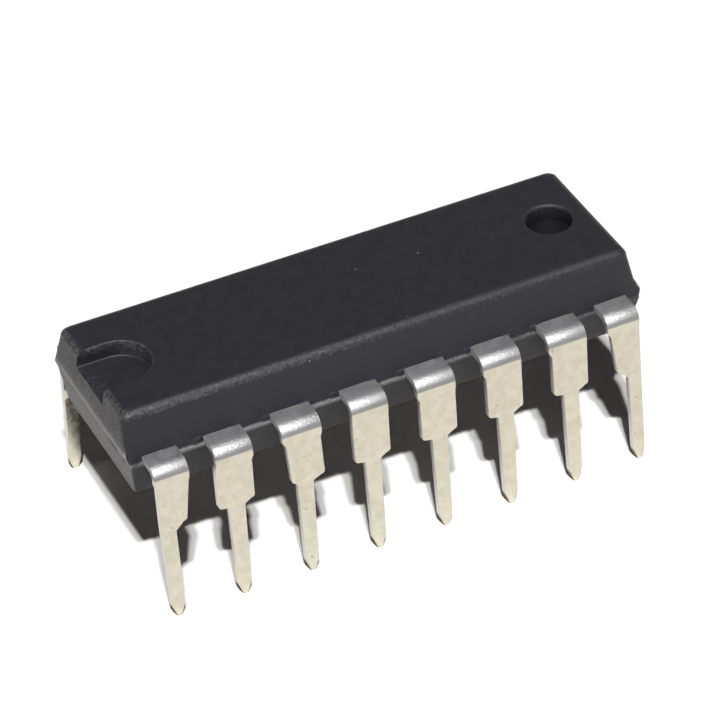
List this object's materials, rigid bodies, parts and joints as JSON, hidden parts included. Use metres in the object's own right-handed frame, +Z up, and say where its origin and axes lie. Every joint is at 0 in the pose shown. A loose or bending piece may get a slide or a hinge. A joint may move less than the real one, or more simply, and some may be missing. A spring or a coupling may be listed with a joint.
{
  "type": "dip integrated circuit chip",
  "caption": "Integrated circuit in a dual in-line package: black moulded body with a notch and a round mark, and two rows of bent, tin-plated leads for through holes",
  "frame": {"origin": "middle of the chip in plan, in the plane of the tips of its leads", "axes": "+X runs along the body from the notched end to the end with the round mark, +Y runs from the row of leads 1 to 8 to the row of leads 9 to 16, and +Z points up through the top of the body"},
  "size_m": [0.0196, 0.0094, 0.0077],
  "materials": {
    "moulding": "matt glass-filled epoxy with a fine moulded grain",
    "lead_plating": "satin tin plating",
    "frame_alloy": "plain stamped frame alloy",
    "die_bond": "silver-filled epoxy",
    "silicon": "polished silicon",
    "gold_wire": "drawn gold"
  },
  "bodies": {
    "root": {"body": "moulding", "lead_1": "lead_plating", "lead_2": "lead_plating", "lead_3": "lead_plating", "lead_4": "lead_plating", "lead_5": "lead_plating", "lead_6": "lead_plating", "lead_7": "lead_plating", "lead_8": "lead_plating", "lead_9": "lead_plating", "lead_10": "lead_plating", "lead_11": "lead_plating", "lead_12": "lead_plating", "lead_13": "lead_plating", "lead_14": "lead_plating", "lead_15": "lead_plating", "lead_16": "lead_plating", "die_pad": "frame_alloy", "die_attach": "die_bond", "die": "silicon", "bond_wire_1": "gold_wire", "bond_wire_2": "gold_wire", "bond_wire_3": "gold_wire", "bond_wire_4": "gold_wire", "bond_wire_5": "gold_wire", "bond_wire_6": "gold_wire", "bond_wire_7": "gold_wire", "bond_wire_8": "gold_wire", "bond_wire_9": "gold_wire", "bond_wire_10": "gold_wire", "bond_wire_11": "gold_wire", "bond_wire_12": "gold_wire", "bond_wire_13": "gold_wire", "bond_wire_14": "gold_wire", "bond_wire_15": "gold_wire", "bond_wire_16": "gold_wire"}
  },
  "joints": []
}
